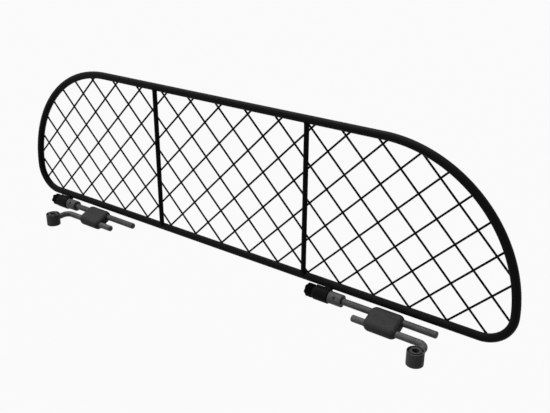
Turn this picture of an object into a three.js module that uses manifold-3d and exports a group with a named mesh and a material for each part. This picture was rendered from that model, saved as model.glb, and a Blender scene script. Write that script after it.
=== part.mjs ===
// Car dog guard: a wire mesh panel in a bent tube frame, carried by two fixing kits.
// Each kit hangs from the bottom run of the frame on a hooked clip. A straight upper rod turns in the
// clip, a two-part clamp slides on that rod, and a bent lower rod turns in the clamp. The lower rod
// ends in a post clamp, which slips over the steel post of a rear headrest.
// Lengths are in millimetres. X runs along the panel, -Y faces the rear seats and Z is up. The origin
// is the middle of the underside of the whole guard's box.

import * as THREE from 'three';
import { mergeGeometries, mergeVertices } from 'three/addons/utils/BufferGeometryUtils.js';
import Module from 'manifold-3d';

const wasm = await Module();
wasm.setup();

// Fits shared by all pieces
const SEAT_GAP = 0.3; // between two pieces that touch or slide on each other
const CUT_OVERRUN = 2; // how far a cut runs past the face it opens
const MERGE_DISTANCE = 0.0001; // vertices closer than this are one

// Panel
const PANEL_WIDTH = 1053; // between the centrelines of the two ends of the frame
const PANEL_HEIGHT = 274; // between the centrelines of the bottom and top runs
const LOWER_CORNER_RADIUS = 48.5; // the upper corners take up the rest of the height
const FRAME_TUBE_RADIUS = 6.75;
const FRAME_TUBE_SIDES = 16;
const LOWER_CORNER_STEPS = 8;
const UPPER_CORNER_STEPS = 16;
const BAR_RADIUS = 4.3;
const BAR_SPACING = 331; // between the centrelines of the two upright bars
const BAR_SIDES = 16;
const BAR_END_LEVEL = 3; // from a run's centreline to where the ends of the bars stop beside it

// Wire mesh, two layers of straight wires that cross at right angles
const WIRE_RADIUS = 1.45;
const WIRE_SIDES = 6;
const WIRE_PITCH = 45; // between neighbouring wires of one layer
const WELD_SINK = 0.2; // how far a weld presses the layers into each other
const FRONT_LAYER_SETBACK = 2.9; // from the middle of the frame tube back to the front layer
const LATTICE_SHIFT = -21.6; // from the middle of the panel to the nearest lowest crossing
const LATTICE_RISE = 4.2; // from the bottom run's centreline up to the lowest crossings

// Where the fixing kits hang
const LEFT_CLIP_X = -462; // from the middle of the panel to the outer end of each clip
const RIGHT_CLIP_X = 194.3;
const LEFT_CLAMP_STATION = 123; // from the clip's outer end along the rod to the clamp's middle
const RIGHT_CLAMP_STATION = 138.4;
const POST_SPREAD = 824; // between the axes of the two headrest posts
const ROD_FORWARD = 10.9; // from the frame tube's centreline towards the seats
const ROD_DROP = 16.9; // from the frame tube's centreline down

// Rods
const ROD_RADIUS = 5.75;
const ROD_SIDES = 16;
const ROD_END_ROUND = 2.2;
const ROD_END_STEPS = 3;
const UPPER_ROD_TIP = 224; // from the clip's outer end to the rod's free end
const ROD_SPACING = 23.4; // between the axes of the two rods in the clamp

// Clip that hooks under and behind the frame tube
const CLIP_LENGTH = 30;
const CLIP_RADIUS = 12.4;
const CLIP_NOSE_RADIUS = 10.8;
const CLIP_NOSE_LENGTH = 3.2;
const CLIP_NOSE_WALL = 3;
const CLIP_EDGE = 0.8;
const CLIP_SIDES = 24;
const JAW_WIDTH = 10;
const JAW_INSET = 1; // from the clip's inner end to the jaw
const JAW_ROOT_THICKNESS = 3.2;
const JAW_TIP_THICKNESS = 1.5;
const JAW_TIP_ANGLE = THREE.MathUtils.degToRad(25); // above the level of the tube's centreline
const JAW_STEPS = 16;
const JAW_WEB_WIDTH = 11;

// Knob and the stud it turns on
const KNOB_LOBES = 6;
const KNOB_RADIUS = 11.7; // out to the top of a lobe
const KNOB_LOBE_DEPTH = 1.9;
const KNOB_THICKNESS = 14.5;
const KNOB_EDGE = 1.2;
const KNOB_STEPS_PER_LOBE = 5;
const KNOB_FACE_WALL = 2;
const STUD_RADIUS = 3;
const STUD_SIDES = 12;
const STUD_EDGE = 0.6;
const STUD_DEPTH_IN_ROD = 12;

// Collar that stops the clip on the rod
const COLLAR_LENGTH = 25.2;
const COLLAR_RADIUS = 10.5;
const COLLAR_EDGE = 1;
const COLLAR_SIDES = 24;

// Grub screws, in the collars and in the post clamps
const GRUB_RADIUS = 2.5;
const GRUB_SIDES = 12;
const GRUB_RECESS = 0.5; // below the surface that it is screwed into
const GRUB_SOCKET_FLATS = 2.5;
const GRUB_SOCKET_DEPTH = 1.8;
const GRUB_HEADING = THREE.MathUtils.degToRad(55); // of the collar's screw, from upright to the seats

// Rod clamp, moulded in two halves that are drawn together by two bolts
const CLAMP_TILT = THREE.MathUtils.degToRad(24); // of the plane of the two rods, from level
const CLAMP_LENGTH = 59.6;
const CLAMP_HEIGHT = 43.8;
const CLAMP_DEPTH = 21.3;
const CLAMP_CORNER_RADIUS = 11;
const CLAMP_CROWN_DEPTH = 9.6;
const CLAMP_CROWN_INSET = 9.2;
const CLAMP_CROWN_STEPS = 4;
const CLAMP_CORNER_STEPS = 4;
const CLAMP_SPLIT = 1; // between the two halves

// Bolts and threaded inserts of the clamp
const BOLT_SPACING = 26;
const BOLT_RADIUS = 2.5;
const BOLT_HEAD_RADIUS = 4.2;
const BOLT_HEAD_HEIGHT = 5;
const BOLT_HEAD_EDGE = 0.5;
const BOLT_HEAD_RECESS = 0.4;
const BOLT_SOCKET_FLATS = 4;
const BOLT_SOCKET_DEPTH = 2.6;
const BOLT_SIDES = 12;
const INSERT_RADIUS = 3.9;
const INSERT_LENGTH = 8;

// Lower rod, from its free end through the clamp and round the bend to the post clamp
const LOWER_ROD_LENGTH = 131.5; // from the free end to the arm's centreline
const ARM_REACH = 37.8; // from the rod's axis to the post's axis
const BEND_RADIUS = 18;
const BEND_STEPS = 7;

// Post clamp
const POST_SHELL_RADIUS = 13.5;
const POST_SHELL_HEIGHT = 23;
const POST_SHELL_BORE_RADIUS = 10.6;
const POST_SHELL_EDGE = 0.6;
const POST_SHELL_SIDES = 28;
const RIM_WALL = 1.5;
const RIM_DEPTH = 1.8;
const ARM_SPIGOT = 2.1; // how deep the arm's end stands in the shell's wall
const POST_BORE_RADIUS = 5.5;
const BUSH_RECESS = 0.4; // from the end of the shell down to the bush
const BUSH_SLIT = 1.6;
const BUSH_STEPS = 28;

// Colours, as seen under plain light
const BLACK_COAT = { color: 0x141414, roughness: 0.5, metalness: 0.1 };
const BLACK_WIRE = { color: 0x101010, roughness: 0.55, metalness: 0.1 };
const BLACK_PLASTIC = { color: 0x1a1a1b, roughness: 0.6, metalness: 0 };
const KNOB_PLASTIC = { color: 0x0d0d0d, roughness: 0.65, metalness: 0 };
const GREY_STEEL = { color: 0x6b6b6b, roughness: 0.4, metalness: 0.7 };
const GREY_PLASTIC = { color: 0x3a3a3b, roughness: 0.6, metalness: 0 };
const DARK_STEEL = { color: 0x2a2a2a, roughness: 0.45, metalness: 0.8 };
const BRASS = { color: 0x9a7b3c, roughness: 0.4, metalness: 0.9 };

// Values that follow from the sizes above
const UPPER_CORNER_RADIUS = PANEL_HEIGHT - LOWER_CORNER_RADIUS;
const WIRE_FLAT = WIRE_RADIUS * Math.cos(Math.PI / WIRE_SIDES); // from a wire's axis to its flats
const REAR_LAYER_SETBACK = FRONT_LAYER_SETBACK + 2 * WIRE_FLAT - WELD_SINK;
const BAR_SETBACK = FRONT_LAYER_SETBACK - WIRE_FLAT - SEAT_GAP - BAR_RADIUS;
const ROD_BORE_RADIUS = ROD_RADIUS + SEAT_GAP;
const TUBE_SEAT_RADIUS = FRAME_TUBE_RADIUS + SEAT_GAP;
const UPPER_ROD_START = CLIP_NOSE_WALL + SEAT_GAP;

// A unit X, Y, Z frame whose Z is the part's X: what is extruded in it runs along the panel.
const ALONG_PANEL = new THREE.Matrix4().makeBasis(
  new THREE.Vector3(0, 1, 0),
  new THREE.Vector3(0, 0, 1),
  new THREE.Vector3(1, 0, 0),
);

// Solids

function facesOut(geometry) {
  const position = geometry.attributes.position;
  const index = geometry.index.array;
  const corners = [new THREE.Vector3(), new THREE.Vector3(), new THREE.Vector3()];
  let volume = 0;
  for (let i = 0; i < index.length; i += 3) {
    corners.forEach((corner, k) => corner.fromBufferAttribute(position, index[i + k]));
    volume += corners[0].dot(corners[1].clone().cross(corners[2]));
  }
  return volume > 0;
}

// A geometry as one closed triangle mesh, with shared vertices and with its faces pointing out.
function closedGeometry(source) {
  const bare = source.clone();
  bare.deleteAttribute('normal');
  bare.deleteAttribute('uv');
  const merged = mergeVertices(bare, MERGE_DISTANCE);
  const index = merged.index.array;
  const kept = [];
  for (let i = 0; i < index.length; i += 3) {
    const [a, b, c] = [index[i], index[i + 1], index[i + 2]];
    if (a !== b && b !== c && c !== a) kept.push(a, b, c);
  }
  merged.setIndex(kept);
  if (!facesOut(merged)) {
    for (let i = 0; i < kept.length; i += 3) [kept[i], kept[i + 1]] = [kept[i + 1], kept[i]];
    merged.setIndex(kept);
  }
  return merged;
}

function solidOf(geometry) {
  const closed = closedGeometry(geometry);
  return new wasm.Manifold(new wasm.Mesh({
    numProp: 3,
    vertProperties: Float32Array.from(closed.attributes.position.array),
    triVerts: Uint32Array.from(closed.index.array),
  }));
}

function geometryOf(solid) {
  const mesh = solid.getMesh();
  const geometry = new THREE.BufferGeometry();
  geometry.setAttribute('position', new THREE.BufferAttribute(Float32Array.from(mesh.vertProperties), 3));
  geometry.setIndex(new THREE.BufferAttribute(Uint32Array.from(mesh.triVerts), 1));
  return geometry;
}

// A body turned round the X axis from [station, radius] points, closed onto the axis at both ends.
function turned(points, sides) {
  const profile = points.map(([station, radius]) => new THREE.Vector2(radius, station));
  const geometry = new THREE.LatheGeometry(profile, sides);
  geometry.rotateZ(-Math.PI / 2);
  return closedGeometry(geometry);
}

// A round bar along X between two stations.
function roundBar(start, end, radius, sides) {
  return turned([[start, 0], [start, radius], [end, radius], [end, 0]], sides);
}

// A round bar whose far end is rounded over.
function roundedBarPoints(start, end, radius, round, steps) {
  const points = [[start, 0], [start, radius]];
  for (let i = 0; i <= steps; i += 1) {
    const angle = (i / steps) * Math.PI / 2;
    points.push([end - round + round * Math.sin(angle), radius - round + round * Math.cos(angle)]);
  }
  points.push([end, 0]);
  return points;
}

// Rings of points round a list of stations, joined into one skin. Each station has a point, two unit
// directions across the path and a radius. An open sweep is closed by a flat fan at each end.
function sweep(stations, sides, isLoop) {
  const vertices = [];
  const index = [];
  for (const { point, across, up, radius } of stations) {
    for (let k = 0; k < sides; k += 1) {
      const angle = (k / sides) * 2 * Math.PI;
      const vertex = point.clone();
      vertex.addScaledVector(across, radius * Math.cos(angle));
      vertex.addScaledVector(up, radius * Math.sin(angle));
      vertices.push(vertex.x, vertex.y, vertex.z);
    }
  }
  const spans = isLoop ? stations.length : stations.length - 1;
  for (let i = 0; i < spans; i += 1) {
    const ring = i * sides;
    const next = ((i + 1) % stations.length) * sides;
    for (let k = 0; k < sides; k += 1) {
      const turn = (k + 1) % sides;
      index.push(ring + k, next + k, next + turn, ring + k, next + turn, ring + turn);
    }
  }
  if (!isLoop) {
    const last = (stations.length - 1) * sides;
    for (let k = 1; k < sides - 1; k += 1) {
      index.push(0, k, k + 1, last, last + k + 1, last + k);
    }
  }
  const geometry = new THREE.BufferGeometry();
  geometry.setAttribute('position', new THREE.Float32BufferAttribute(vertices, 3));
  geometry.setIndex(index);
  return closedGeometry(geometry);
}

function hexagon(flats) {
  const corner = flats / 2 / Math.cos(Math.PI / 6);
  const points = [];
  for (let k = 0; k < 6; k += 1) {
    const angle = (k / 6) * 2 * Math.PI;
    points.push(new THREE.Vector2(corner * Math.cos(angle), corner * Math.sin(angle)));
  }
  return new THREE.Shape(points);
}

// A hexagonal prism along X, from one station to another.
function hexagonBar(start, end, flats) {
  const geometry = new THREE.ExtrudeGeometry(hexagon(flats), { depth: end - start, bevelEnabled: false });
  geometry.applyMatrix4(ALONG_PANEL);
  geometry.translate(start, 0, 0);
  return geometry;
}

// A grub screw along X whose tip is at the first station and whose socket opens at the second.
function grubScrew(tip, end) {
  const body = solidOf(roundBar(tip, end, GRUB_RADIUS, GRUB_SIDES));
  const socket = hexagonBar(end - GRUB_SOCKET_DEPTH, end + CUT_OVERRUN, GRUB_SOCKET_FLATS);
  return geometryOf(body.subtract(solidOf(socket)));
}

function piece(name, geometry, look) {
  const mesh = new THREE.Mesh(geometry, new THREE.MeshStandardMaterial(look));
  mesh.name = name;
  return mesh;
}

// Panel

// Stations round the frame's centreline: four corner arcs. The two arcs of one end of the panel meet at
// a shared station, and straight runs join them along the top and the bottom.
function frameStations() {
  const lower = { radius: LOWER_CORNER_RADIUS, steps: LOWER_CORNER_STEPS };
  const upper = { radius: UPPER_CORNER_RADIUS, steps: UPPER_CORNER_STEPS };
  const corners = [
    { ...lower, side: 1, from: -Math.PI / 2, first: 0 },
    { ...upper, side: 1, from: 0, first: 1 },
    { ...upper, side: -1, from: Math.PI / 2, first: 0 },
    { ...lower, side: -1, from: Math.PI, first: 1 },
  ];
  const stations = [];
  for (const { radius, steps, side, from, first } of corners) {
    const middle = new THREE.Vector3(side * (PANEL_WIDTH / 2 - radius), 0, LOWER_CORNER_RADIUS);
    for (let i = first; i <= steps; i += 1) {
      const angle = from + (i / steps) * Math.PI / 2;
      const across = new THREE.Vector3(Math.cos(angle), 0, Math.sin(angle));
      const point = middle.clone().addScaledVector(across, radius);
      stations.push({ point, across, up: new THREE.Vector3(0, 1, 0), radius: FRAME_TUBE_RADIUS });
    }
  }
  return stations;
}

// The bars end in a saddle round the frame tube.
function uprightBar(x) {
  const length = PANEL_HEIGHT - 2 * BAR_END_LEVEL;
  const bar = new THREE.CylinderGeometry(BAR_RADIUS, BAR_RADIUS, length, BAR_SIDES);
  bar.rotateX(Math.PI / 2);
  bar.translate(x, BAR_SETBACK, PANEL_HEIGHT / 2);
  let solid = solidOf(bar);
  for (const level of [0, PANEL_HEIGHT]) {
    const reach = BAR_RADIUS + CUT_OVERRUN;
    const saddle = roundBar(x - reach, x + reach, TUBE_SEAT_RADIUS, FRAME_TUBE_SIDES);
    saddle.translate(0, 0, level);
    solid = solid.subtract(solidOf(saddle));
  }
  return geometryOf(solid);
}

// Where a line at 45 degrees crosses the inside of the frame, as the X of its two ends, or null.
function chord(footX, slope, inset, stations) {
  const ends = [];
  const height = (corner) => (corner.z - LATTICE_RISE) - slope * (corner.x - footX);
  const corners = stations.map(({ point, across }) => point.clone().addScaledVector(across, -inset));
  corners.forEach((corner, i) => {
    const next = corners[(i + 1) % corners.length];
    const [here, there] = [height(corner), height(next)];
    if (here < 0 !== there < 0) ends.push(THREE.MathUtils.lerp(corner.x, next.x, here / (here - there)));
  });
  return ends.length === 2 ? ends.sort((a, b) => a - b) : null;
}

// One layer of parallel wires, each cut short of the frame tube. A corner wire that would meet no wire
// of the other layer is left out.
function wireLayer(slope, setback, stations) {
  const spacing = WIRE_PITCH * Math.SQRT2;
  const count = Math.ceil((PANEL_WIDTH / 2 + PANEL_HEIGHT) / spacing);
  const nearest = setback - WIRE_FLAT;
  const seat = Math.sqrt(Math.max(0, TUBE_SEAT_RADIUS ** 2 - nearest ** 2));
  const wires = [];
  for (let k = -count; k <= count; k += 1) {
    const footX = LATTICE_SHIFT + k * spacing;
    const ends = chord(footX, slope, seat + WIRE_RADIUS, stations);
    if (!ends) continue;
    const crossings = (x) => (x - footX) / (spacing / 2);
    const first = Math.ceil(crossings(ends[0] + 2 * WIRE_RADIUS));
    const last = Math.floor(crossings(ends[1] - 2 * WIRE_RADIUS));
    if (last < first) continue;
    const length = (ends[1] - ends[0]) * Math.SQRT2;
    const wire = new THREE.CylinderGeometry(WIRE_RADIUS, WIRE_RADIUS, length, WIRE_SIDES);
    wire.rotateY(Math.PI / WIRE_SIDES);
    wire.rotateZ(slope * Math.PI / 4 - Math.PI / 2);
    wire.rotateX(Math.PI / 2);
    const middle = (ends[0] + ends[1]) / 2;
    wire.translate(middle, setback, LATTICE_RISE + slope * (middle - footX));
    wires.push(closedGeometry(wire));
  }
  return solidOf(mergeGeometries(wires));
}

function buildPanel() {
  const panel = new THREE.Group();
  const stations = frameStations();
  panel.add(piece('frame_tube', sweep(stations, FRAME_TUBE_SIDES, true), BLACK_COAT));
  panel.add(piece('left_upright_bar', uprightBar(-BAR_SPACING / 2), BLACK_COAT));
  panel.add(piece('right_upright_bar', uprightBar(BAR_SPACING / 2), BLACK_COAT));
  const front = wireLayer(1, FRONT_LAYER_SETBACK, stations);
  const rear = wireLayer(-1, REAR_LAYER_SETBACK, stations);
  panel.add(piece('wire_mesh', geometryOf(front.add(rear)), BLACK_WIRE));
  return panel;
}

// Fixing kit. Its frame has its origin on the upper rod's axis at the clip's outer end.

// The curved jaw, drawn round the frame tube and extruded along it.
function jaw(start) {
  const rootAngle = Math.atan2(-ROD_DROP, -ROD_FORWARD);
  const inner = [];
  const outer = [];
  for (let i = 0; i <= JAW_STEPS; i += 1) {
    const along = i / JAW_STEPS;
    const angle = THREE.MathUtils.lerp(rootAngle, JAW_TIP_ANGLE, along);
    const thickness = THREE.MathUtils.lerp(JAW_ROOT_THICKNESS, JAW_TIP_THICKNESS, along);
    const ray = new THREE.Vector2(Math.cos(angle), Math.sin(angle));
    inner.push(ray.clone().multiplyScalar(TUBE_SEAT_RADIUS));
    outer.unshift(ray.clone().multiplyScalar(TUBE_SEAT_RADIUS + thickness));
  }
  const shape = new THREE.Shape([...inner, ...outer]);
  const geometry = new THREE.ExtrudeGeometry(shape, { depth: JAW_WIDTH, bevelEnabled: false });
  geometry.applyMatrix4(ALONG_PANEL);
  geometry.translate(start, ROD_FORWARD, ROD_DROP);
  return geometry;
}

// The web stands between the barrel and the jaw, on the line from the rod to the tube.
function jawWeb(start) {
  const reach = Math.hypot(ROD_FORWARD, ROD_DROP);
  const geometry = new THREE.BoxGeometry(JAW_WIDTH, reach, JAW_WEB_WIDTH);
  geometry.translate(0, reach / 2, 0);
  geometry.rotateX(Math.atan2(ROD_DROP, ROD_FORWARD));
  geometry.translate(start + JAW_WIDTH / 2, 0, 0);
  return geometry;
}

function frameClip() {
  const barrel = turned([
    [0, 0],
    [0, CLIP_NOSE_RADIUS],
    [CLIP_NOSE_LENGTH, CLIP_RADIUS],
    [CLIP_LENGTH - CLIP_EDGE, CLIP_RADIUS],
    [CLIP_LENGTH, CLIP_RADIUS - CLIP_EDGE],
    [CLIP_LENGTH, 0],
  ], CLIP_SIDES);
  const jawStart = CLIP_LENGTH - JAW_INSET - JAW_WIDTH;
  const jawEnd = jawStart + JAW_WIDTH;
  const seat = roundBar(jawStart - CUT_OVERRUN, jawEnd + CUT_OVERRUN, TUBE_SEAT_RADIUS, CLIP_SIDES);
  seat.translate(0, ROD_FORWARD, ROD_DROP);
  const bore = turned([
    [-CUT_OVERRUN, 0],
    [-CUT_OVERRUN, STUD_RADIUS + SEAT_GAP],
    [CLIP_NOSE_WALL, STUD_RADIUS + SEAT_GAP],
    [CLIP_NOSE_WALL, ROD_BORE_RADIUS],
    [CLIP_LENGTH + CUT_OVERRUN, ROD_BORE_RADIUS],
    [CLIP_LENGTH + CUT_OVERRUN, 0],
  ], CLIP_SIDES);
  const solid = solidOf(barrel)
    .add(solidOf(jawWeb(jawStart)))
    .subtract(solidOf(seat))
    .add(solidOf(jaw(jawStart)))
    .subtract(solidOf(bore));
  return geometryOf(solid);
}

function knob() {
  const outline = [];
  const steps = KNOB_LOBES * KNOB_STEPS_PER_LOBE;
  for (let i = 0; i < steps; i += 1) {
    const angle = (i / steps) * 2 * Math.PI;
    const dip = KNOB_LOBE_DEPTH * (1 - Math.cos(KNOB_LOBES * angle)) / 2;
    const radius = KNOB_RADIUS - KNOB_EDGE - dip;
    outline.push(new THREE.Vector2(radius * Math.cos(angle), radius * Math.sin(angle)));
  }
  const body = new THREE.ExtrudeGeometry(new THREE.Shape(outline), {
    depth: KNOB_THICKNESS - 2 * KNOB_EDGE,
    bevelThickness: KNOB_EDGE,
    bevelSize: KNOB_EDGE,
    bevelSegments: 2,
  });
  body.applyMatrix4(ALONG_PANEL);
  body.translate(KNOB_EDGE - KNOB_THICKNESS - SEAT_GAP, 0, 0);
  const bore = roundBar(KNOB_FACE_WALL - KNOB_THICKNESS - SEAT_GAP, CUT_OVERRUN, STUD_RADIUS + SEAT_GAP, STUD_SIDES);
  return geometryOf(solidOf(body).subtract(solidOf(bore)));
}

function stud() {
  const start = KNOB_FACE_WALL - KNOB_THICKNESS;
  const end = UPPER_ROD_START + STUD_DEPTH_IN_ROD - SEAT_GAP;
  return turned([
    [start, 0],
    [start, STUD_RADIUS - STUD_EDGE],
    [start + STUD_EDGE, STUD_RADIUS],
    [end - STUD_EDGE, STUD_RADIUS],
    [end, STUD_RADIUS - STUD_EDGE],
    [end, 0],
  ], STUD_SIDES);
}

function upperRod() {
  const points = roundedBarPoints(UPPER_ROD_START, UPPER_ROD_TIP, ROD_RADIUS, ROD_END_ROUND, ROD_END_STEPS);
  const holeRadius = STUD_RADIUS + SEAT_GAP;
  points[0] = [UPPER_ROD_START, holeRadius];
  const holeEnd = UPPER_ROD_START + STUD_DEPTH_IN_ROD;
  return turned([[holeEnd, 0], [holeEnd, holeRadius], ...points], ROD_SIDES);
}

// The collar's grub screw points at the rod, square to its axis.
function placeCollarScrew(geometry) {
  geometry.rotateY(-Math.PI / 2);
  geometry.rotateX(GRUB_HEADING);
  geometry.translate(CLIP_LENGTH + SEAT_GAP + COLLAR_LENGTH / 2, 0, 0);
  return geometry;
}

function collar() {
  const start = CLIP_LENGTH + SEAT_GAP;
  const end = start + COLLAR_LENGTH;
  const ring = turned([
    [start, 0],
    [start, COLLAR_RADIUS - COLLAR_EDGE],
    [start + COLLAR_EDGE, COLLAR_RADIUS],
    [end - COLLAR_EDGE, COLLAR_RADIUS],
    [end, COLLAR_RADIUS - COLLAR_EDGE],
    [end, 0],
  ], COLLAR_SIDES);
  const bore = roundBar(start - CUT_OVERRUN, end + CUT_OVERRUN, ROD_BORE_RADIUS, ROD_SIDES);
  const hole = roundBar(0, COLLAR_RADIUS + CUT_OVERRUN, GRUB_RADIUS + SEAT_GAP, GRUB_SIDES);
  const solid = solidOf(ring).subtract(solidOf(bore)).subtract(solidOf(placeCollarScrew(hole)));
  return geometryOf(solid);
}

function collarScrew() {
  return placeCollarScrew(grubScrew(ROD_BORE_RADIUS, COLLAR_RADIUS - GRUB_RECESS));
}

// The clamp's frame has X along the rods, Y from the lower rod to the upper one and Z out of its front.
function clampBlock() {
  const halfLength = CLAMP_LENGTH / 2 - CLAMP_CROWN_INSET;
  const halfHeight = CLAMP_HEIGHT / 2 - CLAMP_CROWN_INSET;
  const radius = CLAMP_CORNER_RADIUS - CLAMP_CROWN_INSET;
  const shape = new THREE.Shape();
  shape.moveTo(halfLength - radius, -halfHeight);
  shape.absarc(halfLength - radius, radius - halfHeight, radius, -Math.PI / 2, 0);
  shape.absarc(halfLength - radius, halfHeight - radius, radius, 0, Math.PI / 2);
  shape.absarc(radius - halfLength, halfHeight - radius, radius, Math.PI / 2, Math.PI);
  shape.absarc(radius - halfLength, radius - halfHeight, radius, Math.PI, 3 * Math.PI / 2);
  const depth = CLAMP_DEPTH - 2 * CLAMP_CROWN_DEPTH;
  const geometry = new THREE.ExtrudeGeometry(shape, {
    depth,
    bevelThickness: CLAMP_CROWN_DEPTH,
    bevelSize: CLAMP_CROWN_INSET,
    bevelSegments: CLAMP_CROWN_STEPS,
    curveSegments: CLAMP_CORNER_STEPS,
  });
  geometry.translate(0, 0, -depth / 2);
  return geometry;
}

// One half of the clamp, on the side of +Z (facing 1) or -Z (facing -1).
function clampHalf(facing) {
  const rest = new THREE.BoxGeometry(
    CLAMP_LENGTH + CUT_OVERRUN,
    CLAMP_HEIGHT + CUT_OVERRUN,
    CLAMP_DEPTH + CUT_OVERRUN,
  );
  rest.translate(0, 0, facing * (CLAMP_SPLIT - CLAMP_DEPTH - CUT_OVERRUN) / 2);
  let solid = solidOf(clampBlock()).subtract(solidOf(rest));
  const reach = CLAMP_LENGTH / 2 + CUT_OVERRUN;
  for (const side of [-1, 1]) {
    const groove = roundBar(-reach, reach, ROD_BORE_RADIUS, ROD_SIDES);
    groove.translate(0, side * ROD_SPACING / 2, 0);
    solid = solid.subtract(solidOf(groove));
    const hole = facing > 0 ? insertPocket() : boltHole();
    hole.translate(side * BOLT_SPACING / 2, 0, 0);
    solid = solid.subtract(solidOf(hole));
  }
  return geometryOf(solid);
}

// Bolts, inserts and their holes are drawn along X and then stood on the clamp's Z axis.
function standOnZ(geometry) {
  geometry.rotateY(-Math.PI / 2);
  return geometry;
}

const BOLT_SEAT = BOLT_HEAD_RECESS + BOLT_HEAD_HEIGHT + SEAT_GAP - CLAMP_DEPTH / 2;
const INSERT_START = CLAMP_SPLIT / 2;
const INSERT_END = INSERT_START + INSERT_LENGTH;

function boltHole() {
  return standOnZ(turned([
    [-CLAMP_DEPTH / 2 - CUT_OVERRUN, 0],
    [-CLAMP_DEPTH / 2 - CUT_OVERRUN, BOLT_HEAD_RADIUS + SEAT_GAP],
    [BOLT_SEAT, BOLT_HEAD_RADIUS + SEAT_GAP],
    [BOLT_SEAT, BOLT_RADIUS + SEAT_GAP],
    [CUT_OVERRUN, BOLT_RADIUS + SEAT_GAP],
    [CUT_OVERRUN, 0],
  ], BOLT_SIDES));
}

function insertPocket() {
  return standOnZ(roundBar(-CUT_OVERRUN, INSERT_END + SEAT_GAP, INSERT_RADIUS + SEAT_GAP, BOLT_SIDES));
}

function clampBolt() {
  const head = BOLT_SEAT - SEAT_GAP - BOLT_HEAD_HEIGHT;
  const body = turned([
    [head, 0],
    [head, BOLT_HEAD_RADIUS - BOLT_HEAD_EDGE],
    [head + BOLT_HEAD_EDGE, BOLT_HEAD_RADIUS],
    [BOLT_SEAT - SEAT_GAP, BOLT_HEAD_RADIUS],
    [BOLT_SEAT - SEAT_GAP, BOLT_RADIUS],
    [INSERT_END - SEAT_GAP, BOLT_RADIUS],
    [INSERT_END - SEAT_GAP, 0],
  ], BOLT_SIDES);
  const socket = hexagonBar(head - CUT_OVERRUN, head + BOLT_SOCKET_DEPTH, BOLT_SOCKET_FLATS);
  return standOnZ(geometryOf(solidOf(body).subtract(solidOf(socket))));
}

function clampInsert() {
  const bore = BOLT_RADIUS + SEAT_GAP;
  return standOnZ(turned([
    [INSERT_START, bore],
    [INSERT_START, INSERT_RADIUS],
    [INSERT_END, INSERT_RADIUS],
    [INSERT_END, bore],
    [INSERT_START, bore],
  ], BOLT_SIDES));
}

// The lower rod's frame has its origin where the rod's axis meets the arm's centreline.
function lowerRod() {
  const up = new THREE.Vector3(0, 0, 1);
  const stations = [];
  for (let i = 0; i <= ROD_END_STEPS; i += 1) {
    const angle = (i / ROD_END_STEPS) * Math.PI / 2;
    stations.push({
      point: new THREE.Vector3(ROD_END_ROUND * (1 - Math.cos(angle)) - LOWER_ROD_LENGTH, 0, 0),
      across: new THREE.Vector3(0, 1, 0),
      up,
      radius: ROD_RADIUS - ROD_END_ROUND + ROD_END_ROUND * Math.sin(angle),
    });
  }
  for (let i = 0; i <= BEND_STEPS; i += 1) {
    const angle = (i / BEND_STEPS) * Math.PI / 2;
    const across = new THREE.Vector3(Math.sin(angle), Math.cos(angle), 0);
    const point = new THREE.Vector3(-BEND_RADIUS, -BEND_RADIUS, 0);
    stations.push({ point: point.addScaledVector(across, BEND_RADIUS), across, up, radius: ROD_RADIUS });
  }
  stations.push({
    point: new THREE.Vector3(0, POST_SHELL_RADIUS - ARM_SPIGOT - ARM_REACH, 0),
    across: new THREE.Vector3(1, 0, 0),
    up,
    radius: ROD_RADIUS,
  });
  return sweep(stations, ROD_SIDES, false);
}

// The post clamp's frame has its origin on the post's axis at half height.
function postShell() {
  const top = POST_SHELL_HEIGHT / 2;
  const rim = POST_SHELL_RADIUS - RIM_WALL;
  const half = [
    [0, POST_SHELL_BORE_RADIUS],
    [top - RIM_DEPTH, POST_SHELL_BORE_RADIUS],
    [top - RIM_DEPTH, rim],
    [top, rim],
    [top, POST_SHELL_RADIUS - POST_SHELL_EDGE],
    [top - POST_SHELL_EDGE, POST_SHELL_RADIUS],
  ];
  const mirrored = half.slice(1).reverse().map(([station, radius]) => [-station, radius]);
  const shell = turned([...half, ...mirrored, half[0]], POST_SHELL_SIDES);
  shell.rotateY(-Math.PI / 2);
  const socketEnd = POST_SHELL_RADIUS - ARM_SPIGOT - SEAT_GAP;
  const socket = roundBar(socketEnd, POST_SHELL_RADIUS + CUT_OVERRUN, ROD_BORE_RADIUS, ROD_SIDES);
  socket.rotateZ(Math.PI / 2);
  const hole = roundBar(0, POST_SHELL_RADIUS + CUT_OVERRUN, GRUB_RADIUS + SEAT_GAP, GRUB_SIDES);
  return geometryOf(solidOf(shell).subtract(solidOf(socket)).subtract(solidOf(hole)));
}

// A ring with a slit, which closes round the post when the grub screw presses on it.
function postBush() {
  const outer = POST_SHELL_BORE_RADIUS - SEAT_GAP;
  const ring = [];
  for (const [radius, way] of [[outer, 1], [POST_BORE_RADIUS, -1]]) {
    const gap = Math.asin(BUSH_SLIT / 2 / radius);
    for (let i = 0; i <= BUSH_STEPS; i += 1) {
      const along = way > 0 ? i / BUSH_STEPS : 1 - i / BUSH_STEPS;
      const angle = Math.PI + gap + along * 2 * (Math.PI - gap);
      ring.push(new THREE.Vector2(radius * Math.cos(angle), radius * Math.sin(angle)));
    }
  }
  const depth = POST_SHELL_HEIGHT - 2 * BUSH_RECESS;
  const geometry = new THREE.ExtrudeGeometry(new THREE.Shape(ring), { depth, bevelEnabled: false });
  geometry.translate(0, 0, -depth / 2);
  return geometry;
}

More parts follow.
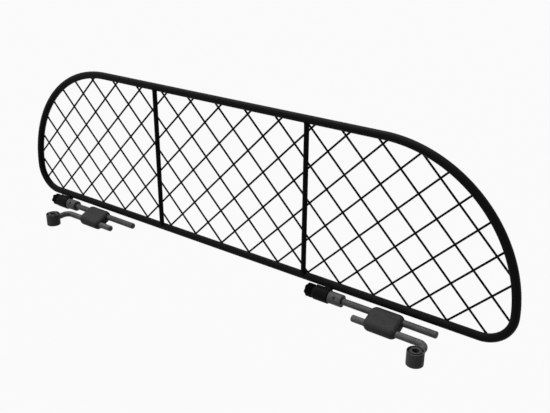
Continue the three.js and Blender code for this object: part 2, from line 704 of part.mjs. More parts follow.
function buildClamp(side) {
  const clamp = new THREE.Group();
  clamp.add(piece(`${side}_clamp_front`, clampHalf(1), GREY_PLASTIC));
  clamp.add(piece(`${side}_clamp_rear`, clampHalf(-1), GREY_PLASTIC));
  for (const [place, sign] of [['outer', -1], ['inner', 1]]) {
    const bolt = piece(`${side}_clamp_bolt_${place}`, clampBolt(), DARK_STEEL);
    const insert = piece(`${side}_clamp_insert_${place}`, clampInsert(), BRASS);
    for (const fastener of [bolt, insert]) {
      fastener.position.x = sign * BOLT_SPACING / 2;
      clamp.add(fastener);
    }
  }
  return clamp;
}

function buildLowerRod(side) {
  const assembly = new THREE.Group();
  assembly.add(piece(`${side}_lower_rod`, lowerRod(), GREY_STEEL));
  const postClamp = new THREE.Group();
  postClamp.position.set(0, -ARM_REACH, 0);
  postClamp.add(piece(`${side}_post_shell`, postShell(), GREY_PLASTIC));
  postClamp.add(piece(`${side}_post_bush`, postBush(), GREY_PLASTIC));
  const screwTip = POST_SHELL_BORE_RADIUS;
  const screw = grubScrew(screwTip, POST_SHELL_RADIUS - GRUB_RECESS);
  postClamp.add(piece(`${side}_post_screw`, screw, DARK_STEEL));
  assembly.add(postClamp);
  return assembly;
}

// The bend points to +X or -X: the same lower rod is turned over for the other kit.
function buildKit({ side, clipX, clampStation, postX, turnedOver }) {
  const kit = new THREE.Group();
  kit.position.set(clipX, -ROD_FORWARD, -ROD_DROP);
  kit.add(piece(`${side}_frame_clip`, frameClip(), BLACK_PLASTIC));
  kit.add(piece(`${side}_knob`, knob(), KNOB_PLASTIC));
  kit.add(piece(`${side}_knob_stud`, stud(), DARK_STEEL));
  kit.add(piece(`${side}_upper_rod`, upperRod(), GREY_STEEL));
  kit.add(piece(`${side}_collar`, collar(), GREY_STEEL));
  kit.add(piece(`${side}_collar_screw`, collarScrew(), DARK_STEEL));
  const fall = new THREE.Vector3(0, -Math.cos(CLAMP_TILT), -Math.sin(CLAMP_TILT));
  const clamp = buildClamp(side);
  clamp.position.set(clampStation, 0, 0).addScaledVector(fall, ROD_SPACING / 2);
  clamp.rotation.x = CLAMP_TILT;
  kit.add(clamp);
  const lower = buildLowerRod(side);
  lower.position.set(postX - clipX, 0, 0).addScaledVector(fall, ROD_SPACING);
  lower.rotation.y = turnedOver ? Math.PI : 0;
  kit.add(lower);
  return kit;
}

const guard = new THREE.Group();
guard.add(buildPanel());
guard.add(buildKit({
  side: 'left',
  clipX: LEFT_CLIP_X,
  clampStation: LEFT_CLAMP_STATION,
  postX: -POST_SPREAD / 2,
  turnedOver: true,
}));
guard.add(buildKit({
  side: 'right',
  clipX: RIGHT_CLIP_X,
  clampStation: RIGHT_CLAMP_STATION,
  postX: POST_SPREAD / 2,
  turnedOver: false,
}));

const box = new THREE.Box3().setFromObject(guard, true);
const middle = box.getCenter(new THREE.Vector3());
guard.position.set(-middle.x, -middle.y, -box.min.z);

export default guard;
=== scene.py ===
# Looks of the car dog guard: smooth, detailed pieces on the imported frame, with lights and a camera.
# Lengths in the shape code are millimetres.
# X runs along the panel, -Y faces the rear seats and Z is up.

import math

import bpy
import bmesh
from mathutils import Matrix, Vector


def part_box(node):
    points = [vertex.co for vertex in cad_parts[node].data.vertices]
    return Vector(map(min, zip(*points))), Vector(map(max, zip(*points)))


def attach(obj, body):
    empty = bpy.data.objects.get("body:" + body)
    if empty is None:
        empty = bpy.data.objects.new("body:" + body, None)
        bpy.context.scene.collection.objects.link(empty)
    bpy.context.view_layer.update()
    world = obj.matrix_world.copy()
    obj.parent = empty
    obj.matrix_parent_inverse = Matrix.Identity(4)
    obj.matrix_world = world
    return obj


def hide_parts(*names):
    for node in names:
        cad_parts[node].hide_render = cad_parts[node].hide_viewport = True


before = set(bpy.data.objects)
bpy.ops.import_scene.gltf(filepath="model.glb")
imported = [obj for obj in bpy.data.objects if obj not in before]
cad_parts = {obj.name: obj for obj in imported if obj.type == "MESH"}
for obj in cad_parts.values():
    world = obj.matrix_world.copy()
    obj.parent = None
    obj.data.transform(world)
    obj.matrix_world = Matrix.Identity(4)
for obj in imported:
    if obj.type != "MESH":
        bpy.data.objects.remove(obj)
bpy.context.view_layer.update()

MM = 0.001
QUARTER = math.pi / 2
X_AXIS, Y_AXIS, Z_AXIS = Vector((1, 0, 0)), Vector((0, 1, 0)), Vector((0, 0, 1))
SIDES = ("left", "right")


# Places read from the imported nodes, in millimetres

def low(node):
    return [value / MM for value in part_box(node)[0]]


def high(node):
    return [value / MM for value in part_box(node)[1]]


def middle(node):
    return [(a + b) / 2 for a, b in zip(low(node), high(node))]


SEAT_GAP = 0.3  # between two pieces that touch or are welded to each other

TUBE_RADIUS = 6.75
TUBE_Y = low("frame_tube")[1] + TUBE_RADIUS  # the axis of the tube's lower run
TUBE_Z = low("frame_tube")[2] + TUBE_RADIUS
PANEL_WIDTH = high("frame_tube")[0] - low("frame_tube")[0] - 2 * TUBE_RADIUS  # between axes
PANEL_HEIGHT = high("frame_tube")[2] - low("frame_tube")[2] - 2 * TUBE_RADIUS
LOWER_CORNER = 48.5  # radius of the bends, on the tube's axis
UPPER_CORNER = PANEL_HEIGHT - LOWER_CORNER


# Mesh building

CREASE = 40  # an edge is shaded sharp from this angle on, in degrees
SAME_PLACE = 0.00001 * MM  # vertices nearer to each other than this are merged
FILLET_SHARE = 0.49  # of an edge, the most that one rounding takes


def new_object(name, verts, faces, crease):
    """An object from vertices in millimetres, with its faces turned outwards."""
    mesh = bpy.data.meshes.new(name)
    mesh.from_pydata([(x * MM, y * MM, z * MM) for x, y, z in verts], [], faces)
    mesh.validate()
    build = bmesh.new()
    build.from_mesh(mesh)
    bmesh.ops.remove_doubles(build, verts=build.verts, dist=SAME_PLACE)
    bmesh.ops.recalc_face_normals(build, faces=build.faces)
    build.to_mesh(mesh)
    build.free()
    piece = bpy.data.objects.new(name, mesh)
    bpy.context.scene.collection.objects.link(piece)
    soften(piece, crease)
    return piece


def soften(piece, crease):
    """Smooth shading, apart from edges as sharp as the crease angle."""
    piece.data.shade_smooth()
    piece.data.set_sharp_from_angle(angle=math.radians(crease))


def place(piece, matrix):
    """Moves a piece's mesh by a matrix in millimetres. The object itself stays at the origin."""
    scaled = matrix.copy()
    scaled.translation = matrix.translation * MM
    piece.data.transform(scaled)
    return piece


def turned(piece, angle, axis):
    """Turns a piece's mesh about an axis through the origin."""
    piece.data.transform(Matrix.Rotation(angle, 4, axis))
    return piece


def upright(piece, way=1):
    """Turns a mesh that is drawn along X to stand along Z, with +X up, or down if way is -1."""
    return turned(piece, -way * QUARTER, "Y")


def applied(piece, crease):
    """The piece with its modifiers made real."""
    graph = bpy.context.evaluated_depsgraph_get()
    mesh = bpy.data.meshes.new_from_object(piece.evaluated_get(graph), depsgraph=graph)
    piece.modifiers.clear()
    old = piece.data
    piece.data = mesh
    bpy.data.meshes.remove(old)
    soften(piece, crease)
    return piece


def boolean(piece, other, operation="DIFFERENCE", crease=CREASE):
    """The piece with another object cut out of it or joined to it. The other is used up."""
    bpy.context.view_layer.update()
    cut = piece.modifiers.new("cut", "BOOLEAN")
    cut.operation = operation
    cut.solver = "EXACT"
    cut.object = other
    applied(piece, crease)
    bpy.data.objects.remove(other)
    return piece


def bevelled(piece, width, segments, limit, crease=CREASE):
    """The piece with edges rounded where its faces meet at more than the limit, in degrees."""
    edge = piece.modifiers.new("edge", "BEVEL")
    edge.width = width * MM
    edge.segments = segments
    edge.limit_method = "ANGLE"
    edge.angle_limit = math.radians(limit)
    edge.use_clamp_overlap = True
    edge.harden_normals = False
    return applied(piece, crease)


def fillet(points, radii, steps):
    """A polyline whose inner corners are rounded, with one radius for each of them."""
    out = [points[0]]
    for before, at, after, radius in zip(points, points[1:], points[2:], radii):
        if radius == 0:
            out.append(at)
            continue
        corner = Vector(at)
        into, out_of = Vector(before) - corner, Vector(after) - corner
        half = into.angle(out_of) / 2
        reach = min(radius / math.tan(half), into.length * FILLET_SHARE,
                    out_of.length * FILLET_SHARE)
        a = corner + into.normalized() * reach
        b = corner + out_of.normalized() * reach
        for k in range(steps + 1):
            t = k / steps
            point = (1 - t) ** 2 * a + 2 * t * (1 - t) * corner + t * t * b
            out.append(tuple(point))
    out.append(points[-1])
    return out


def bands(rings, loop=False):
    """Faces between neighbouring rings of vertex numbers. A ring can be one point, repeated."""
    faces = []
    for here, there in zip(rings, rings[1:] + rings[:1] if loop else rings[1:]):
        for k in range(len(here)):
            n = (k + 1) % len(here)
            face = tuple(dict.fromkeys((here[k], here[n], there[n], there[k])))
            if len(face) > 2:
                faces.append(face)
    return faces


def end_faces(rings):
    return [tuple(rings[0]), tuple(reversed(rings[-1]))]


def next_ring(verts, sides):
    """The numbers that the next vertices of a list will have."""
    return range(len(verts), len(verts) + sides)


def lathe(name, points, sides, closed=False, crease=CREASE):
    """A body turned round X from (station, radius) points. A closed one is a ring."""
    verts, rings = [], []
    for x, r in points:
        if r == 0:
            rings.append([len(verts)] * sides)
            verts.append((x, 0, 0))
            continue
        rings.append(next_ring(verts, sides))
        for k in range(sides):
            a = 2 * math.pi * k / sides
            verts.append((x, r * math.cos(a), r * math.sin(a)))
    return new_object(name, verts, bands(rings, loop=closed), crease)


def cylinder(name, start, end, radius, sides):
    """A cutter along X. An end that lies in the open is a plain number in the calls."""
    return lathe(name, [(start, 0), (start, radius), (end, radius), (end, 0)], sides)


def sweep(stations, sides, loop=False):
    """Vertices and faces of rings round (point, across, up, radius) stations."""
    verts, rings = [], []
    for point, across, up, radius in stations:
        rings.append(next_ring(verts, sides))
        for k in range(sides):
            a = 2 * math.pi * k / sides
            at = point + across * (radius * math.cos(a)) + up * (radius * math.sin(a))
            verts.append(tuple(at))
    return verts, bands(rings, loop) + ([] if loop else end_faces(rings))


def prism(name, outline, start, end, axis, crease=CREASE):
    """An outline drawn out along X or Z."""
    verts = []
    for level in (start, end):
        verts += [(level, a, b) if axis == "X" else (a, b, level) for a, b in outline]
    n = len(outline)
    faces = [tuple(range(n)), tuple(range(2 * n - 1, n - 1, -1))]
    for k in range(n):
        faces.append((k, (k + 1) % n, n + (k + 1) % n, n + k))
    return new_object(name, verts, faces, crease)


def hexagon(flats):
    """The corners of a hexagon, from the distance between its flats."""
    corner = flats / 2 / math.cos(math.pi / 6)
    return [(corner * math.cos(k * math.pi / 3), corner * math.sin(k * math.pi / 3))
            for k in range(6)]


def joined(parts):
    """Several pairs of vertices and faces as one pair."""
    verts, faces = [], []
    for part_verts, part_faces in parts:
        base = len(verts)
        verts.extend(part_verts)
        faces.extend(tuple(base + i for i in face) for face in part_faces)
    return verts, faces


def thread(start, end, pitch, radius, depth):
    """Crests and roots of the whole turns that fit between two stations."""
    points = [(start, radius)]
    for i in range(int((end - start) / pitch)):
        points += [(start + (i + 0.5) * pitch, radius - depth), (start + (i + 1) * pitch, radius)]
    return points


# Materials

NOISE_LOW, NOISE_HIGH = 0.3, 0.7  # a noise texture hardly leaves this range
WHITE = (1, 1, 1)
EVEN = (1, 1, 1)  # the scale of a pattern that isn't stretched


def material(name, base, roughness, metallic, specular):
    made = bpy.data.materials.new(name)
    made.use_nodes = True
    shader = made.node_tree.nodes["Principled BSDF"]
    shader.inputs["Base Color"].default_value = (*base, 1)
    shader.inputs["Roughness"].default_value = roughness
    shader.inputs["Metallic"].default_value = metallic
    shader.inputs["Specular IOR Level"].default_value = specular
    return made


def grey(level):
    """The linear colour of a display grey from 0 to 255."""
    c = level / 255
    return (c / 12.92 if c <= 0.04045 else ((c + 0.055) / 1.055) ** 2.4,) * 3


class Graph:
    """Short names for a material's nodes and links."""

    def __init__(self, made):
        self.tree = made.node_tree
        self.shader = self.tree.nodes["Principled BSDF"]

    def node(self, kind, **values):
        node = self.tree.nodes.new(kind)
        for key, value in values.items():
            setattr(node, key, value)
        return node

    def link(self, source, target):
        self.tree.links.new(source, target)

    def coords(self, stretch=EVEN):
        source = self.node("ShaderNodeTexCoord")
        mapping = self.node("ShaderNodeMapping")
        mapping.inputs["Scale"].default_value = stretch
        self.link(source.outputs["Object"], mapping.inputs["Vector"])
        return mapping.outputs["Vector"]

    def noise(self, vector, scale, detail, rough):
        node = self.node("ShaderNodeTexNoise")
        node.inputs["Scale"].default_value = scale
        node.inputs["Detail"].default_value = detail
        node.inputs["Roughness"].default_value = rough
        self.link(vector, node.inputs["Vector"])
        return node.outputs["Fac"]

    def ramp(self, pattern, base, stops):
        """The base colour times a factor, which (position, factor) stops give."""
        node = self.node("ShaderNodeValToRGB")
        elements = node.color_ramp.elements
        while len(elements) < len(stops):
            elements.new(0.5)
        for element, (position, factor) in zip(elements, stops):
            element.position = position
            element.color = (*(channel * factor for channel in base), 1)
        self.link(pattern, node.inputs["Fac"])
        return node.outputs["Color"]

    def bump(self, height, strength, distance, under=None):
        node = self.node("ShaderNodeBump")
        node.inputs["Strength"].default_value = strength
        node.inputs["Distance"].default_value = distance
        self.link(height, node.inputs["Height"])
        if under is not None:
            self.link(under, node.inputs["Normal"])
        return node.outputs["Normal"]

    def set_colour(self, tone, fine, share):
        """The tone, darkened or lightened by a share of the fine pattern."""
        mix = self.node("ShaderNodeMix", data_type="RGBA", blend_type="MULTIPLY")
        mix.inputs["Factor"].default_value = share
        self.link(tone, mix.inputs["A"])
        self.link(fine, mix.inputs["B"])
        self.link(mix.outputs["Result"], self.shader.inputs["Base Color"])

    def set_roughness(self, pattern, smoothest, roughest):
        node = self.node("ShaderNodeMapRange")
        node.inputs["From Min"].default_value = NOISE_LOW
        node.inputs["From Max"].default_value = NOISE_HIGH
        node.inputs["To Min"].default_value = smoothest
        node.inputs["To Max"].default_value = roughest
        self.link(pattern, node.inputs["Value"])
        self.link(node.outputs["Result"], self.shader.inputs["Roughness"])

    def set_normal(self, normal):
        self.link(normal, self.shader.inputs["Normal"])


def powder_coat(name, base, roughness, specular, peel=2600):
    """Baked coating: fine orange peel, faint clouds in tone and gloss, and fine specks."""
    made = material(name, base, roughness, 0.0, specular)
    g = Graph(made)
    at = g.coords()
    cloud = g.noise(at, scale=35, detail=4, rough=0.6)
    speck = g.noise(at, scale=900, detail=2, rough=0.6)
    tone = g.ramp(cloud, base, [(0.3, 0.75), (0.55, 1), (0.75, 1.3)])
    g.set_colour(tone, g.ramp(speck, WHITE, [(0.35, 0.7), (0.65, 1.25)]), share=0.5)
    g.set_roughness(cloud, roughness - 0.08, roughness + 0.1)
    wave = g.noise(at, scale=140, detail=2, rough=0.4)
    broad = g.bump(wave, strength=0.12, distance=0.0006)
    skin = g.noise(at, scale=peel, detail=2, rough=0.5)
    g.set_normal(g.bump(skin, strength=0.2, distance=0.0001, under=broad))
    return made


def moulded(name, base, roughness, specular, grain=1800):
    """Filled nylon: a fine spark-eroded grain with faint flow marks."""
    made = material(name, base, roughness, 0.0, specular)
    g = Graph(made)
    flow = g.noise(g.coords((1, 4, 4)), scale=55, detail=4, rough=0.55)
    pits = g.noise(g.coords(), scale=grain, detail=3, rough=0.65)
    tone = g.ramp(flow, base, [(0.3, 0.85), (0.7, 1.15)])
    g.set_colour(tone, g.ramp(pits, WHITE, [(0.35, 0.7), (0.65, 1.25)]), share=0.6)
    g.set_roughness(pits, roughness - 0.06, roughness + 0.1)
    g.set_normal(g.bump(pits, strength=0.35, distance=0.00012))
    return made


def drawn_steel(name, base, roughness, metallic, specular, stretch, lines=900):
    """Drawn bar, bare or under a thin coat: lines along the bar and faint clouds in tone."""
    made = material(name, base, roughness, metallic, specular)
    g = Graph(made)
    scratch = g.noise(g.coords(stretch), scale=lines, detail=4, rough=0.6)
    cloud = g.noise(g.coords(), scale=70, detail=3, rough=0.6)
    tone = g.ramp(cloud, base, [(0.3, 0.82), (0.7, 1.18)])
    g.set_colour(tone, g.ramp(scratch, WHITE, [(0.35, 0.75), (0.65, 1.2)]), share=0.7)
    g.set_roughness(scratch, roughness - 0.08, roughness + 0.12)
    g.set_normal(g.bump(scratch, strength=0.15, distance=0.00008))
    return made


COATED = {"metallic": 0.1, "specular": 0.15}  # steel under a grey coat
SCREW_LINES = (1, 0.2, 0.2)
BRASS = (0.36, 0.25, 0.09)

# The material of each kind of piece, and the slot of the record that it stands for
COATS = {
    "frame": (powder_coat("satin_black_coat", grey(15), 0.5, 0.05), "black_frame_coat"),
    "bar": (powder_coat("satin_black_bar_coat", grey(8), 0.5, 0.04), "black_frame_coat"),
    "wire": (powder_coat("black_wire_coat", grey(8), 0.5, 0.04, peel=4200), "black_wire_coat"),
    "clip": (moulded("black_clip_plastic", grey(15), 0.55, 0.05), "black_plastic"),
    "knob": (moulded("black_knob_plastic", grey(4), 0.6, 0.02, grain=2200), "knob_plastic"),
    "clamp": (moulded("grey_clamp_plastic", grey(56), 0.6, 0.12), "grey_plastic"),
    "bush": (moulded("grey_bush_plastic", grey(66), 0.6, 0.12), "bush_plastic"),
    "shell": (powder_coat("dark_grey_shell_coat", grey(86), 0.5, 0.08), "post_shell_coat"),
    "rod": (drawn_steel("grey_rod_coat", grey(82), 0.42, **COATED, stretch=(0.06, 1, 1)),
            "grey_steel"),
    "arm": (drawn_steel("grey_arm_coat", grey(90), 0.42, **COATED, stretch=(0.2, 0.6, 1)),
            "grey_steel"),
    "collar": (drawn_steel("grey_collar_coat", grey(90), 0.5, **COATED, stretch=(1, 0.3, 0.3),
                           lines=700), "grey_steel"),
    "screw": (drawn_steel("black_screw_steel", grey(34), 0.4, 0.6, 0.4, SCREW_LINES),
              "dark_steel"),
    "grub": (drawn_steel("dull_grub_steel", grey(74), 0.5, **COATED, stretch=SCREW_LINES),
             "dark_steel"),
    "insert": (drawn_steel("turned_brass", BRASS, 0.35, 0.9, 0.5, SCREW_LINES), "brass"),
}


def dress(piece, coat, body, *nodes):
    """Gives a piece its material, its body and the nodes that it replaces."""
    made, slot = COATS[coat]
    piece.data.materials.clear()
    piece.data.materials.append(made)
    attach(piece, body)
    if nodes:
        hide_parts(*nodes)


# Panel

LOWER_STEPS, UPPER_STEPS = 24, 48  # stations along a lower and an upper bend


def frame_stations():
    """Stations round the frame tube. The two bends of an end meet, so one leaves a station out."""
    stations = []
    bends = [
        (1, LOWER_CORNER, LOWER_STEPS, -QUARTER, 0),
        (1, UPPER_CORNER, UPPER_STEPS, 0, 1),
        (-1, UPPER_CORNER, UPPER_STEPS, QUARTER, 0),
        (-1, LOWER_CORNER, LOWER_STEPS, math.pi, 1),
    ]
    for side, radius, steps, start, first in bends:
        centre = Vector((side * (PANEL_WIDTH / 2 - radius), TUBE_Y, TUBE_Z + LOWER_CORNER))
        for i in range(first, steps + 1):
            a = start + (i / steps) * QUARTER
            across = Vector((math.cos(a), 0, math.sin(a)))
            stations.append((centre + across * radius, across, Y_AXIS, TUBE_RADIUS))
    return stations


FRAME_PATH = frame_stations()


def build_frame():
    return new_object("bent_frame_tube", *sweep(FRAME_PATH, sides=48, loop=True), crease=60)


WIRE_RADIUS = 1.45
WIRE_PITCH = 45.0
WIRE_FLAT = WIRE_RADIUS * math.cos(math.pi / 6)  # half of a wire's thickness in the solids
WIRE_PRESS = 0.2  # how deep the two layers are pressed into each other
FRONT_LAYER = 2.9  # how far a layer's axes stand behind the frame tube's
REAR_LAYER = FRONT_LAYER + 2 * WIRE_FLAT - WIRE_PRESS
LATTICE_SHIFT, LATTICE_RISE = -21.6, 4.2  # one crossing, from the middle of the lower run
WIRE_COAT = 0.25  # thickness of the black dip coat on the wires
WIRE_SINK = 0.6  # how deep the welded end of a wire stands in the frame tube
WIRE_TOES = ((0, 1.2), (1.6, 1.2), (2.6, 1.1), (4.2, 1.0))  # (way from the end, share of radius)
RUN_ENDS = 0.01  # share of a wire at each end where no crossing is welded
NUGGET_RADIUS, NUGGET_TIP, NUGGET_HALF, NUGGET_STEPS = 1.8, 0.15, 0.85, 6


def chord(foot_x, slope, inset):
    """The X of both ends of a slanting line inside the frame's path, which is drawn in by inset."""
    ends = []
    corners = [point - across * inset for point, across, _, _ in FRAME_PATH]

    def height(corner):
        return (corner.z - TUBE_Z - LATTICE_RISE) - slope * (corner.x - foot_x)

    for i, corner in enumerate(corners):
        after = corners[(i + 1) % len(corners)]
        here, there = height(corner), height(after)
        if (here < 0) != (there < 0):
            ends.append(corner.x + (after.x - corner.x) * here / (here - there))
    return sorted(ends) if len(ends) == 2 else None


def wire_runs(slope, setback):
    """The two ends of each wire of a layer. A wire that would cross no other is left out."""
    spacing = WIRE_PITCH * math.sqrt(2)
    margin = 2 * WIRE_RADIUS
    count = math.ceil((PANEL_WIDTH / 2 + PANEL_HEIGHT) / spacing)
    buried = math.sqrt(TUBE_RADIUS ** 2 - setback ** 2) - WIRE_SINK
    runs = []
    for k in range(-count, count + 1):
        foot_x = LATTICE_SHIFT + k * spacing
        ends = chord(foot_x, slope, buried)
        if not ends:
            continue
        first = math.ceil((ends[0] + margin - foot_x) / (spacing / 2))
        last = math.floor((ends[1] - margin - foot_x) / (spacing / 2))
        if last < first:
            continue
        runs.append([
            Vector((x, TUBE_Y + setback, TUBE_Z + LATTICE_RISE + slope * (x - foot_x)))
            for x in ends
        ])
    return runs


def wire(a, b):
    """A wire that swells a little where it is welded to the frame at each end."""
    along = (b - a).normalized()
    up = along.cross(Y_AXIS)
    length = (b - a).length
    swells = [*WIRE_TOES, (length / 2, 1.0)]
    swells += [(length - s, share) for s, share in reversed(WIRE_TOES)]
    stations = [(a + along * s, Y_AXIS, up, (WIRE_RADIUS + WIRE_COAT) * share)
                for s, share in swells]
    return sweep(stations, sides=14)


def weld_nugget(centre):
    """The squeezed metal between two crossing wires."""
    stations = []
    for k in range(NUGGET_STEPS + 1):
        a = math.pi * k / NUGGET_STEPS
        point = centre + Vector((0, -math.cos(a) * NUGGET_HALF, 0))
        stations.append((point, X_AXIS, Z_AXIS, max(NUGGET_TIP, NUGGET_RADIUS * math.sin(a))))
    return sweep(stations, sides=10)


def build_mesh():
    """Both layers of wires, with a nugget at each crossing."""
    front = wire_runs(1, FRONT_LAYER)
    rear = wire_runs(-1, REAR_LAYER)
    parts = [wire(a, b) for a, b in front + rear]
    for a, b in front:
        for c, d in rear:
            u, w = b - a, d - c
            gap = c - a
            cross = u.x * w.z - u.z * w.x
            s = (gap.x * w.z - gap.z * w.x) / cross
            t = (gap.x * u.z - gap.z * u.x) / cross
            if RUN_ENDS < s < 1 - RUN_ENDS and RUN_ENDS < t < 1 - RUN_ENDS:
                here = a + u * s
                parts.append(weld_nugget(Vector((here.x, (a.y + c.y) / 2, here.z))))
    return new_object("welded_wire_mesh", *joined(parts), crease=50)


BAR_RADIUS = 4.3
BAR_Y = TUBE_Y + FRONT_LAYER - WIRE_FLAT - SEAT_GAP - BAR_RADIUS
BAR_END = 3.0  # how far a bar stops short of the tube's axis
BAR_SEAM = ((0, 0), (2.2, 0.75), (3.1, 0.7), (4.2, 0.25), (5.4, 0))  # (way, share of SEAM_HEIGHT)
SEAM_HEIGHT = 0.6
COPE_GAP = 0.05  # between the bar's coped end and the tube
COPE_REACH = 12.0
BAR_SPANS = 8  # between the seams


def upright_bar(name, x):
    """A bar whose coped ends carry a narrow weld seam round the frame tube."""
    bottom, top = TUBE_Z + BAR_END, TUBE_Z + PANEL_HEIGHT - BAR_END
    seam = BAR_SEAM[-1][0]
    levels = [(bottom + way, share) for way, share in BAR_SEAM]
    levels += [(bottom + seam + (top - bottom - 2 * seam) * k / BAR_SPANS, 0)
               for k in range(1, BAR_SPANS)]
    levels += [(top - way, share) for way, share in reversed(BAR_SEAM)]
    stations = [(Vector((x, BAR_Y, z)), X_AXIS, Y_AXIS, BAR_RADIUS + share * SEAM_HEIGHT)
                for z, share in levels]
    bar = new_object(name, *sweep(stations, sides=40), crease=50)
    for level in (TUBE_Z, TUBE_Z + PANEL_HEIGHT):
        cutter = cylinder("cutter", -COPE_REACH, COPE_REACH, TUBE_RADIUS + COPE_GAP, sides=64)
        boolean(bar, place(cutter, Matrix.Translation((x, TUBE_Y, level))))
    return bar


def build_panel():
    dress(build_frame(), "frame", "panel", "frame_tube")
    dress(build_mesh(), "wire", "panel", "wire_mesh")
    for side in SIDES:
        node = f"{side}_upright_bar"
        dress(upright_bar(f"{side}_welded_bar", middle(node)[0]), "bar", "panel", node)


# Clip, knob, upper rod and collar, drawn with their origin on the upper rod's axis,
# at the outer end of the clip

ROD_FORWARD, ROD_DROP = 10.9, 16.9  # the rod's axis, in front of the tube's axis and below it
TUBE_SEAT = TUBE_RADIUS + SEAT_GAP

ROD_RADIUS = 5.75
ROD_BORE = ROD_RADIUS + SEAT_GAP
ROD_SEAT = 3.0  # where the bore of the clip widens for the rod
ROD_START, ROD_TIP = ROD_SEAT + SEAT_GAP, 224.0
ROD_CHAMFER = 0.4
ROD_ROUND, ROUND_STEPS = 2.2, 8  # the rounded edge at a rod's free end
ROD_SPANS = 12

STUD_RADIUS = 3.0
STUD_BORE = STUD_RADIUS + SEAT_GAP
STUD_DEPTH = 12.0  # of the stud's hole in the rod
STUD_CHAMFER = 0.6
STUD_PITCH, STUD_THREAD = 1.0, 0.45

CLIP_LENGTH = 30.0
CLIP_RADIUS = 12.4
CLIP_NOSE_RADIUS, CLIP_NOSE_LENGTH = 10.8, 3.2
CLIP_ROUNDING = [0.7, 1.6, 0.9]  # at the nose, the shoulder and the inner end
JAW_WIDTH = 10.0
JAW_INSET = 1.0  # from the inner end of the clip
JAW_START = CLIP_LENGTH - JAW_INSET - JAW_WIDTH
JAW_END = JAW_START + JAW_WIDTH
JAW_ROOT, JAW_TIP = 3.2, 1.5  # the jaw's thickness at both ends of its arc
JAW_TOP = math.radians(18)  # where the jaw stops behind the tube, above the level of its axis
JAW_STEPS = 40
WEB_HALF = 5.5  # half of the width of the web that carries the jaw
SADDLE_HALF, SADDLE_START = 3.5, 2.5  # the rib between the barrel and the tube
SADDLE_END = JAW_START + 1  # inside the web

KNOB_THICKNESS = 14.5
KNOB_RADIUS = 11.7
KNOB_LOBES, KNOB_DIP = 6, 1.9
LOBE_STEPS = 20
KNOB_FACE = 0.84  # the end faces' size, as a share of the knob's
# (way in from an end face, share of the radius)
KNOB_EDGE = ((0.0, KNOB_FACE), (0.22, 0.90), (0.7, 0.955), (1.4, 0.99), (2.4, 1.0))
KNOB_WALL = 2.0  # between the outer face and the stud's bore
KNOB_CREASE = 45
DISH_DEPTH, DISH_RIM, DISH_FLOOR = 0.8, 6.4, 5.6  # of the outer face; the last two are radii
DISH_ROUNDING = [0, 0.5]

GRUB_RADIUS, GRUB_SOCKET, GRUB_SOCKET_DEPTH = 2.5, 2.5, 1.8
GRUB_BORE = GRUB_RADIUS + SEAT_GAP
GRUB_TIP_CHAMFER, GRUB_HEAD_CHAMFER = 0.4, 0.35
GRUB_TIP_GAP = 0.1  # between the tip and the rod
COLLAR_GRUB_SUNK, SHELL_GRUB_SUNK = 0.3, 0.5  # below the surface
GRUB_HEADING = math.radians(55)  # of the collar's grub screw about the rod

COLLAR_START = CLIP_LENGTH + SEAT_GAP
COLLAR_LENGTH = 25.2
COLLAR_RADIUS = 10.5
COLLAR_BORE = ROD_RADIUS + 0.15
COLLAR_ROUNDING = [0.8, 0.7]


def jaw_outline():
    """A band round the frame tube, from the web to the back, that gets thinner on its way."""
    root = math.atan2(-ROD_DROP, -ROD_FORWARD)
    outer_root, outer_tip = TUBE_SEAT + JAW_ROOT, TUBE_SEAT + JAW_TIP
    inner, outer = [], []
    for i in range(JAW_STEPS + 1):
        t = i / JAW_STEPS
        a = root + (JAW_TOP - root) * t
        back = outer_root + (outer_tip - outer_root) * t
        for line, radius in ((inner, TUBE_SEAT), (outer, back)):
            line.append((ROD_FORWARD + radius * math.cos(a), ROD_DROP + radius * math.sin(a)))
    return inner + outer[::-1]


def frame_clip(name):
    """A barrel round the rod, with a rib under the frame tube and a jaw that goes round it."""
    profile = [
        (0, 0), (0, CLIP_NOSE_RADIUS), (CLIP_NOSE_LENGTH, CLIP_RADIUS),
        (CLIP_LENGTH, CLIP_RADIUS), (CLIP_LENGTH, 0),
    ]
    clip = lathe(name, fillet(profile, CLIP_ROUNDING, steps=5), sides=72)
    reach = math.hypot(ROD_FORWARD, ROD_DROP)
    lean = math.atan2(ROD_DROP, ROD_FORWARD)
    ribs = (
        ("web", WEB_HALF, reach, JAW_START, JAW_END),
        ("saddle", SADDLE_HALF, reach - TUBE_SEAT, SADDLE_START, SADDLE_END),
    )
    for part, half, length, start, end in ribs:
        outline = [(0, -half), (length, -half), (length, half), (0, half)]
        boolean(clip, turned(prism(part, outline, start, end, "X"), lean, "X"), "UNION")
    seat = cylinder("seat", SADDLE_START - 3, CLIP_LENGTH + 3, TUBE_SEAT, sides=72)
    boolean(clip, place(seat, Matrix.Translation((0, ROD_FORWARD, ROD_DROP))))
    boolean(clip, prism("jaw", jaw_outline(), JAW_START, JAW_END, "X"), "UNION")
    bore = [
        (-2, 0), (-2, STUD_BORE), (ROD_SEAT, STUD_BORE),
        (ROD_SEAT, ROD_BORE), (CLIP_LENGTH + 2, ROD_BORE), (CLIP_LENGTH + 2, 0),
    ]
    boolean(clip, lathe("bore", bore, sides=48))
    return bevelled(clip, width=0.35, segments=2, limit=50)


